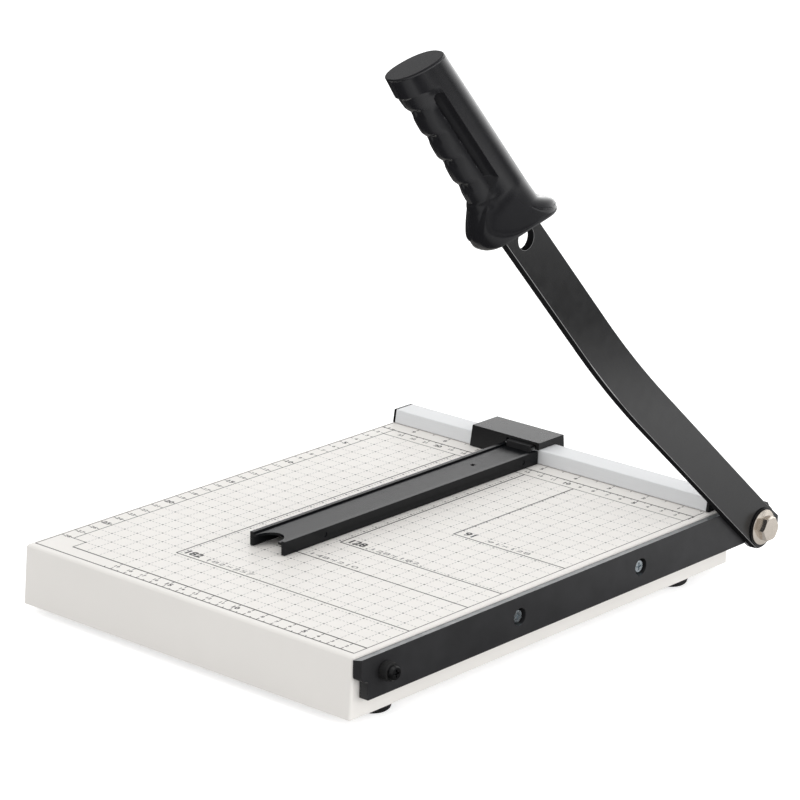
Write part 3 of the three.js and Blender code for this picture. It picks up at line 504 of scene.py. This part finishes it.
EDGES = {
    "base_shell": 0.0,
    "bed_knife": 0.12,
    "cutter_arm": 0.4,
    "fence_rail": 0.25,
    "guide_block": 0.35,
    "guide_channel": 0.25,
    "pivot_bolt": 0.25,
    "stop_sleeve": 0.4,
    "fence_cap_left": 0.2,
    "fence_cap_right": 0.2,
}
SMALL_EDGE = 0.12
SHORT_EDGED = "cutter_arm"  # has some very short edges, which would hold its soft edges back
WELD = 0.001
FLAT_ANGLE = 0.2
SHARP_EDGE = 32
SHARP_ROUND = 38
SHARP_GRIP = 28


def sharpness(limit):
    """A node group that shades smooth, and sharp only over edges steeper than the limit."""
    group = bpy.data.node_groups.new("sharpness", "GeometryNodeTree")
    group.interface.new_socket("Geometry", in_out="INPUT", socket_type="NodeSocketGeometry")
    group.interface.new_socket("Geometry", in_out="OUTPUT", socket_type="NodeSocketGeometry")
    start = group.nodes.new("NodeGroupInput")
    end = group.nodes.new("NodeGroupOutput")
    angle = group.nodes.new("GeometryNodeInputMeshEdgeAngle")
    steep = group.nodes.new("FunctionNodeCompare")
    steep.operation = "GREATER_THAN"
    steep.inputs["B"].default_value = math.radians(limit)
    normal = group.nodes.new("GeometryNodeSetMeshNormal")
    normal.mode = "SHARPNESS"
    normal.inputs["Remove Custom"].default_value = True
    group.links.new(start.outputs[0], normal.inputs["Mesh"])
    group.links.new(angle.outputs["Unsigned Angle"], steep.inputs["A"])
    group.links.new(steep.outputs[0], normal.inputs["Edge Sharpness"])
    group.links.new(normal.outputs[0], end.inputs[0])
    return group


smooth_rounds = sharpness(SHARP_ROUND)


def soften(piece, width):
    """Welds the flat faces, rounds the sharp edges and shades the rounds smooth."""
    weld = piece.modifiers.new("weld", "WELD")
    weld.merge_threshold = WELD * MM
    flat = piece.modifiers.new("flat", "DECIMATE")
    flat.decimate_type = "DISSOLVE"
    flat.angle_limit = math.radians(FLAT_ANGLE)
    if width:
        bevel = piece.modifiers.new("bevel", "BEVEL")
        bevel.width = width * MM
        bevel.segments = 2
        bevel.limit_method = "ANGLE"
        bevel.angle_limit = math.radians(SHARP_EDGE)
        bevel.use_clamp_overlap = piece.name != SHORT_EDGED
    shading = piece.modifiers.new("shading", "NODES")
    shading.node_group = smooth_rounds
    weighted = piece.modifiers.new("weighted", "WEIGHTED_NORMAL")
    weighted.keep_sharp = True


slots = {row["node"]: row["material_slot"] for row in frame["record"]["subparts"]}
for node, piece in frame["nodes"].items():
    piece.data.materials.clear()
    piece.data.materials.append(finishes[slots[node]])
    soften(piece, EDGES.get(node, SMALL_EDGE))


# Grip: the same slanted sections as the part's, set close, with sharper flanks


def share_of(value):
    return min(1.0, max(0.0, value))


def ease(value):
    share = share_of(value)
    return share * share * (3 - 2 * share)


def swing(x, y, z, angle):
    """A place in the level arm's frame, swung up about the pivot."""
    turn = math.radians(-angle)
    turned_y = y * math.cos(turn) - z * math.sin(turn)
    turned_z = y * math.sin(turn) + z * math.cos(turn)
    return place(PIVOT[0] + x, PIVOT[1] + turned_y, PIVOT[2] + turned_z)


def grip_place(x, over, station):
    """A place on the grip, as it is with the arm raised."""
    tilt = math.radians(GRIP_TILT)
    y = -GRIP_FROM_PIVOT - station * math.cos(tilt) + over * math.sin(tilt)
    z = GRIP_ABOVE + station * math.sin(tilt) + over * math.cos(tilt)
    return swing(x, y, z, ARM_RAISE)


def finger_wave(station):
    share = ((station - FINGER_START) / FINGER_PITCH) % 1.0
    rise = math.sin(math.pi / 2 * share_of(share / FINGER_PEAK))
    return rise * math.cos(math.pi / 2 * share_of((share - FINGER_PEAK) / (1 - FINGER_PEAK)))


def rim_size(station, run):
    """The share of its reach that a section has where the guard's rim is rounded."""
    return 1 - RIM_SHARE * (1 - math.sqrt(1 - (1 - share_of(station / run)) ** 2))


def grip_size(station, wave):
    """Reach of a section to the finger side, to the palm side and to either flank."""
    run, step, start, end = COLLAR
    past = station - GRIP_LENGTH + run
    collar = share_of(past / step)
    front = GRIP_FRONT + FINGER_BUMP * wave * (1 - collar)
    front += (start + (end - start) * share_of(past / run) - front) * collar
    along = share_of(station / GRIP_LENGTH)
    back = GRIP_BACK[0] + (GRIP_BACK[1] - GRIP_BACK[0]) * along
    side = GRIP_SIDE[0] + (GRIP_SIDE[1] - GRIP_SIDE[0]) * along
    flare_front, flare_side = (
        share_of(1 - station / length) ** power for length, power in zip(GUARD_RUNS, GUARD_POWERS)
    )
    back_end, back_run = GUARD_BACK
    front += (GUARD[0] - front) * flare_front
    back += (GUARD[1] - back) * ease((back_end - station) / back_run)
    side += (GUARD[2] - side) * flare_side
    rim = rim_size(station, RIM_RUN)
    return front * rim, back * rim_size(station, RIM_BACK_RUN), side * rim


def flank_hollow(station, over):
    """How far the flank is let in: panel, long groove, a dent at each notch, and the lip's line."""
    diagonal = (-over - (FLANK_FOOT - station) * FLANK_SWING) * math.cos(math.atan(FLANK_SWING))
    inside = min(-over, diagonal)
    top, run = FLANK_TOP
    fade = share_of((top - station) / run)
    depth = FLANK_DEPTH * share_of(inside / FLANK_WALL) * ease(fade)
    radius, deep, end, wall = GROOVE
    reach = radius - math.hypot(over + radius, max(0.0, station - end + radius))
    groove = min(share_of(reach / wall), share_of(inside / (2 * radius - wall)))
    depth += max(0.0, deep - depth) * groove
    dent, above, below = NOTCH_DENT
    dent_start, dent_run = NOTCH_INNER
    for notch in range(FINGERS):
        past = station - FINGER_START - FINGER_PITCH * notch
        along = 1 - past / above if past > 0 else 1 + past / below
        depth += dent * ease(along) * ease((-over - dent_start) / dent_run)
    lip_start, lip_run = LIP_INNER
    if over > lip_start:
        foot, rise, middle, run = LIP_LINE
        lip = station - foot - rise * math.exp((middle - over) / run)
        deep, wide = LIP_GROOVE
        depth += deep * math.exp(-((lip / wide) ** 2)) * share_of((over - lip_start) / lip_run)
    return depth


def grip_ring(station):
    """The points of a slanted section. Its flanks stay calm where the finger side waves."""
    front, back, side = grip_size(station, finger_wave(station))
    calm = grip_size(station, CALM_WAVE)[0]
    run, reach, bow = GUARD_SHIFT
    guard = share_of(1 - station / run)
    points = []
    for index in range(GRIP_SIDES):
        turn = math.tau * index / GRIP_SIDES
        up, out = math.sin(turn), math.cos(turn)
        over = (back if up > 0 else front) * math.copysign(abs(up) ** UP_POWER, up)
        half = side * abs(out) ** OUT_POWER
        if up < 0:
            even = side * share_of(1 - (-over / calm) ** (2 / UP_POWER)) ** (OUT_POWER / 2)
            half += (even - half) * ease((over + CALM_TO) / CALM_RUN)
        wide = math.copysign(max(half - flank_hollow(station, over), half * LEAST_HALF), out)
        slant = over * math.tan(math.radians(GRIP_LEAN))
        along = station - (reach + bow * up * up) * guard - slant
        points.append(grip_place(ARM_MIDDLE + wide, over, along))
    return points


def skin(name, rings, node):
    """Skins a row of rings, closes its ends and stands in for a node of the part."""
    shape = bmesh.new()
    rows = [[shape.verts.new(point) for point in ring] for ring in rings]
    for first, second in zip(rows, rows[1:]):
        for index in range(len(first)):
            after = (index + 1) % len(first)
            shape.faces.new((first[index], first[after], second[after], second[index]))
    shape.faces.new(rows[0][::-1])
    shape.faces.new(rows[-1])
    bmesh.ops.recalc_face_normals(shape, faces=shape.faces)
    piece = build(name, shape)
    piece.data.materials.append(finishes["grip_plastic"])
    for face in piece.data.polygons:
        face.use_smooth = len(face.vertices) == 4
    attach(piece, "blade_arm")
    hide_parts(node)
    return piece


def grip():
    rows = int(GRIP_LENGTH / GRIP_STEP)
    stations = [RIM_RUN * share for share in RIM_ROWS]
    stations += [GRIP_LENGTH * row / rows for row in range(1, rows)]
    stations.append(GRIP_LENGTH)
    return skin("grip_moulding", [grip_ring(station) for station in stations], "handle_grip")


def relieve(piece):
    """Cuts away what would meet the board and the bed knife when the arm is down."""
    reach = 2 * GUARD[0]
    low = (-reach, -NOSE_FROM_PIVOT - GUARD_RELIEF, -reach)
    high = (ARM_INNER, reach - NOSE_FROM_PIVOT, GUARD_RELIEF + KNIFE_RISE - PIVOT[2])
    shape = bmesh.new()
    bmesh.ops.create_cube(shape, size=1.0)
    for vert in shape.verts:
        corner = [high[axis] if vert.co[axis] > 0 else low[axis] for axis in range(3)]
        vert.co = swing(*corner, ARM_DROP)
    cutter = build("relief", shape)
    cut = piece.modifiers.new("relief", "BOOLEAN")
    cut.operation = "DIFFERENCE"
    cut.solver = "MANIFOLD"
    cut.object = cutter
    whole = piece.data
    result = piece.evaluated_get(bpy.context.evaluated_depsgraph_get())
    piece.data = bpy.data.meshes.new_from_object(result)
    piece.data.name = whole.name
    piece.modifiers.clear()
    for spare in (whole, cutter.data):
        bpy.data.meshes.remove(spare)


def end_cap():
    """A thin cap that closes the grip, with a soft rim."""
    rings = []
    for share, grow in CAP_RINGS:
        ring = grip_ring(GRIP_LENGTH + CAP_RISE * share)
        middle = sum(ring, Vector()) / len(ring)
        rings.append([middle + (point - middle) * grow for point in ring])
    return skin("grip_cap", rings, "handle_end_cap")


moulding = grip()
relieve(moulding)
moulding.modifiers.new("shading", "NODES").node_group = sharpness(SHARP_GRIP)
end_cap()


# Print


class Print:
    """Gathers flat prints into one closed film of ink on the board."""

    def __init__(self):
        self.shape = bmesh.new()

    def bar(self, x0, x1, y0, y1):
        corners = [(x0, y0), (x1, y0), (x1, y1), (x0, y1)]
        low = [self.shape.verts.new(place(x, y, 0.0)) for x, y in corners]
        high = [self.shape.verts.new(place(x, y, INK_HEIGHT)) for x, y in corners]
        self.shape.faces.new(high)
        self.shape.faces.new(low[::-1])
        for side in range(4):
            after = (side + 1) % 4
            self.shape.faces.new((low[side], low[after], high[after], high[side]))

    def across(self, x0, x1, y, width):
        self.bar(x0, x1, y - width / 2, y + width / 2)

    def down(self, x, y0, y1, width):
        self.bar(x - width / 2, x + width / 2, y0, y1)

    def label(self, text, x, y, size, stretch=1.3, bold=0.0):
        """Digits of a height in millimetres, centred on a point."""
        curve = bpy.data.curves.new("digits", "FONT")
        curve.body = text
        curve.align_x = "CENTER"
        curve.align_y = "CENTER"
        curve.size = size / DIGIT_SHARE * MM
        curve.offset = bold * size * MM
        curve.extrude = INK_HEIGHT / 2 * MM
        curve.resolution_u = 3
        carrier = bpy.data.objects.new("digits", curve)
        mesh = bpy.data.meshes.new_from_object(carrier)
        middle = place(x, y, INK_HEIGHT / 2)
        mesh.transform(Matrix.Translation(middle) @ Matrix.Diagonal((stretch, 1.0, 1.0, 1.0)))
        self.shape.from_mesh(mesh)
        bpy.data.meshes.remove(mesh)
        bpy.data.objects.remove(carrier)
        bpy.data.curves.remove(curve)

    def finish(self, name, material):
        bmesh.ops.remove_doubles(self.shape, verts=self.shape.verts, dist=INK_WELD * MM)
        bmesh.ops.recalc_face_normals(self.shape, faces=self.shape.faces)
        piece = build(name, self.shape)
        piece.data.materials.append(material)
        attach(piece, "board")


def print_outlines():
    lines = Print()
    lines.across(PRINT_LEFT, PRINT_RIGHT, PRINT_FRONT, MEDIUM)
    lines.down(PRINT_LEFT, PRINT_FRONT, PRINT_BACK, THIN)
    lines.down(PRINT_RIGHT, PRINT_FRONT, PRINT_BACK, THIN)
    lines.across(CORNER_RIGHT, PRINT_RIGHT, RULER_FRONT, THICK)
    lines.down(RULER_LEFT, CORNER_BACK, INCH_LINE, THIN)
    lines.across(RULER_LEFT, CORNER_RIGHT, CORNER_BACK, THIN)
    lines.down(CORNER_RIGHT, RULER_FRONT, CORNER_BACK, THIN)
    lines.across(PRINT_LEFT, PRINT_RIGHT, INCH_LINE, MEDIUM)
    lines.across(RULER_LEFT, PRINT_RIGHT, CENTIMETRE_LINE, THIN)
    for width, depth in FRAMES:
        lines.across(-width, PRINT_RIGHT, -depth, MEDIUM)
        if width != HIDDEN_FRAME:
            lines.down(-width, -depth, CENTIMETRE_LINE, MEDIUM)
    for k in range(1, LEFT_LAST + 1):
        lines.across(PRINT_LEFT, PRINT_LEFT + LEFT_TICK, -10.0 * k, TICK)
        lines.across(RULER_LEFT - LEFT_TICK, RULER_LEFT, -10.0 * k, TICK)
    for k in range(2, FRONT_LAST + 1):
        lines.down(-10.0 * k, PRINT_FRONT, PRINT_FRONT + FRONT_TICKS[0], TICK)
        lines.down(-10.0 * k, RULER_FRONT - FRONT_TICKS[0], RULER_FRONT, TICK)
        lines.down(-10.0 * k - 5.0, PRINT_FRONT, PRINT_FRONT + FRONT_TICKS[1], TICK)
    for k in range(1, FENCE_LAST + 1):
        lines.down(-10.0 * k, INCH_LINE - FENCE_TICKS[0], INCH_LINE, TICK)
        lines.down(-10.0 * k - 5.0, INCH_LINE - FENCE_TICKS[1], INCH_LINE, TICK)
    for k in range(1, INCH_LAST + 1):
        lines.down(-INCH * k, INCH_TICK_BACK - INCH_TICKS[0], INCH_TICK_BACK, TICK)
        lines.down(-INCH * (k - 0.5), INCH_TICK_BACK - INCH_TICKS[1], INCH_TICK_BACK, TICK)
    lines.finish("print_lines", dark_ink)


def print_digits():
    digits = Print()
    for k in range(1, LEFT_LAST + 1):
        size, bold = LEFT_DIGITS[k % 5 == 0]
        digits.label(str(k), LEFT_ROW, -10.0 * k, size, bold=bold)
    for k in range(2, FRONT_LAST + 1):
        size, bold = RULER_DIGITS[k % 5 == 0]
        digits.label(str(k), -10.0 * k, FRONT_ROW, size, bold=bold)
    for k in range(1, FENCE_LAST + 1):
        size, bold = RULER_DIGITS[k % 5 == 0]
        digits.label(str(k), -10.0 * k, FENCE_ROW, size, bold=bold)
    size, bold = INCH_DIGITS
    for k in range(1, INCH_LAST + 1):
        digits.label(str(k), -INCH * k, INCH_ROW, size, bold=bold)
    x, y = FRAME_LABEL
    for width, depth in FRAMES:
        if width != HIDDEN_FRAME:
            digits.label(str(width), x - width, y - depth, **FRAME_DIGITS)
    digits.finish("print_digits", dark_ink)


def print_sizes():
    """The light size beside each frame's bold width."""
    sizes = Print()
    x, y = FRAME_SIZE
    for width, depth in FRAMES:
        sizes.label(f"{width}×{depth}", x - width, y - depth, **SIZE_DIGITS)
    sizes.finish("print_sizes", middle_ink)


def print_grid():
    """Dashed lines every centimetre, up to the rulers' lines, with a blot at each crossing."""
    grid, blots = Print(), Print()
    columns, rows = (range(first, last + 1) for first, last in (GRID_COLUMNS, GRID_ROWS))
    dashes = [step * DASH_STEP for step in range(1, DASHES_PER_CENTIMETRE)]
    over_x, over_y = (
        [10.0 * line + dash for line in (lines[0] - 1, *lines) for dash in dashes]
        for lines in (columns, rows)
    )
    half, blot = DASH_LENGTH / 2, BLOT / 2
    for row in rows:
        for x in over_x:
            if x + half < PRINT_RIGHT:
                grid.across(x - half, x + half, 10.0 * row, DASH_WIDTH)
    for column in columns:
        x = 10.0 * column
        for y in over_y:
            if y + half < CENTIMETRE_LINE:
                grid.down(x, y - half, y + half, DASH_WIDTH)
        for row in rows:
            blots.across(x - blot, x + blot, 10.0 * row, BLOT)
    blots.finish("print_blots", middle_ink)
    grid.finish("print_grid", pale_ink)


print_outlines()
print_digits()
print_sizes()
print_grid()


# Room: floor, lights and camera


def floor():
    """A plain pale floor, which mirrored rays see by their own light."""
    shape = bmesh.new()
    bmesh.ops.create_grid(shape, x_segments=24, y_segments=24, size=FLOOR_HALF)
    piece = build("floor", shape)
    made = Finish("floor", FLOOR_COLOUR, 0.9, specular=0.0)
    rays = made.node("ShaderNodeLightPath").outputs
    start, end = FLOOR_MIRRORED[0][0], FLOOR_MIRRORED[-1][0]
    ramp = made.node("ShaderNodeValToRGB")
    stops = ramp.color_ramp.elements
    stops.remove(stops[1])
    for index, (where, light) in enumerate(FLOOR_MIRRORED):
        share = (where - start) / (end - start)
        stop = stops.new(share) if index else stops[0]
        stop.position = share
        stop.color = (*[light / RAMP_FULL] * 3, 1.0)
    to_right = made.reach(made.coordinates, TO_RIGHT)
    made.link(made.remap(to_right, start, end, 0.0, 1.0), ramp.inputs["Fac"])
    near, far, light = FLOOR_HORIZON
    to_back = made.reach(made.coordinates, TO_BACK)
    horizon = made.remap(to_back, near, far, 0.0, light / RAMP_FULL)
    mirrored = made.math("ADD", ramp.outputs["Color"], horizon)
    mirrored = made.math("MULTIPLY", mirrored, rays["Is Glossy Ray"])
    mirrored = made.math("MULTIPLY", mirrored, RAMP_FULL)
    lift = made.math("MULTIPLY_ADD", rays["Is Camera Ray"], FLOOR_LIFT, mirrored)
    made.shader.inputs["Emission Color"].default_value = (1.0, 1.0, 1.0, 1.0)
    made.link(lift, made.shader.inputs["Emission Strength"])
    made.paint(made.mix(rays["Is Glossy Ray"], FLOOR_COLOUR, (0.0, 0.0, 0.0)))
    piece.data.materials.append(made.material)


def world():
    """White where it is seen, an even soft light, and dimmer in mirrored rays."""
    made = bpy.data.worlds.new("studio")
    made.use_nodes = True
    nodes = Nodes(made.node_tree)
    rays = nodes.node("ShaderNodeLightPath").outputs
    outward = nodes.node("ShaderNodeTexCoord").outputs["Generated"]
    rise = nodes.part(outward, "Z")
    behind = nodes.math("MULTIPLY_ADD", rise, -MIRRORED_FALL, MIRRORED_HORIZON)
    behind = nodes.math("MAXIMUM", behind, MIRRORED_LEAST)
    to_back = nodes.reach(outward, TO_BACK)
    mirrored = nodes.remap(
        to_back, *MIRRORED_SPREAD, MIRRORED_FRONT, behind, interpolation_type="SMOOTHSTEP"
    )
    unseen = nodes.either(rays["Is Glossy Ray"], WORLD_LIGHT, mirrored)
    background = made.node_tree.nodes["Background"]
    background.inputs["Color"].default_value = (1.0, 1.0, 1.0, 1.0)
    nodes.link(nodes.either(rays["Is Camera Ray"], unseen, 1.0), background.inputs["Strength"])
    bpy.context.scene.world = made


def softbox(name, azimuth, elevation, distance, width, height, power, mirrored):
    """A lamp that faces the part. Azimuth 0 stands in front of it and 90 on its right."""
    lamp = bpy.data.lights.new(name, "AREA")
    lamp.shape = "RECTANGLE"
    lamp.size = width
    lamp.size_y = height
    lamp.energy = power
    turn, rise = math.radians(azimuth), math.radians(elevation)
    side = math.cos(rise)
    out = Vector((math.sin(turn) * side, -math.cos(turn) * side, math.sin(rise)))
    piece = bpy.data.objects.new(name, lamp)
    piece.location = LIT_POINT + out * distance
    piece.rotation_mode = "QUATERNION"
    piece.rotation_quaternion = (-out).to_track_quat("-Z", "Y")
    piece.visible_camera = False
    piece.visible_glossy = mirrored
    bpy.context.scene.collection.objects.link(piece)


def camera():
    down, roll = math.radians(CAMERA_DOWN), math.radians(CAMERA_ROLL)
    ahead = TO_BACK * math.cos(down) - Vector((0.0, 0.0, math.sin(down)))
    upright = TO_RIGHT.cross(ahead)
    right = math.cos(roll) * TO_RIGHT + math.sin(roll) * upright
    up = math.cos(roll) * upright - math.sin(roll) * TO_RIGHT
    data = bpy.data.cameras.new("camera")
    data.lens = CAMERA_LENS
    data.sensor_width = SENSOR
    data.clip_end = CAMERA_REACH
    piece = bpy.data.objects.new("camera", data)
    axes = Matrix((right, up, -ahead)).transposed()
    piece.matrix_world = Matrix.Translation(place(*CAMERA_PLACE)) @ axes.to_4x4()
    bpy.context.scene.collection.objects.link(piece)
    bpy.context.scene.camera = piece


floor()
world()
for row in SOFTBOXES:
    softbox(*row)
camera()
bpy.context.scene.view_settings.view_transform = "Standard"
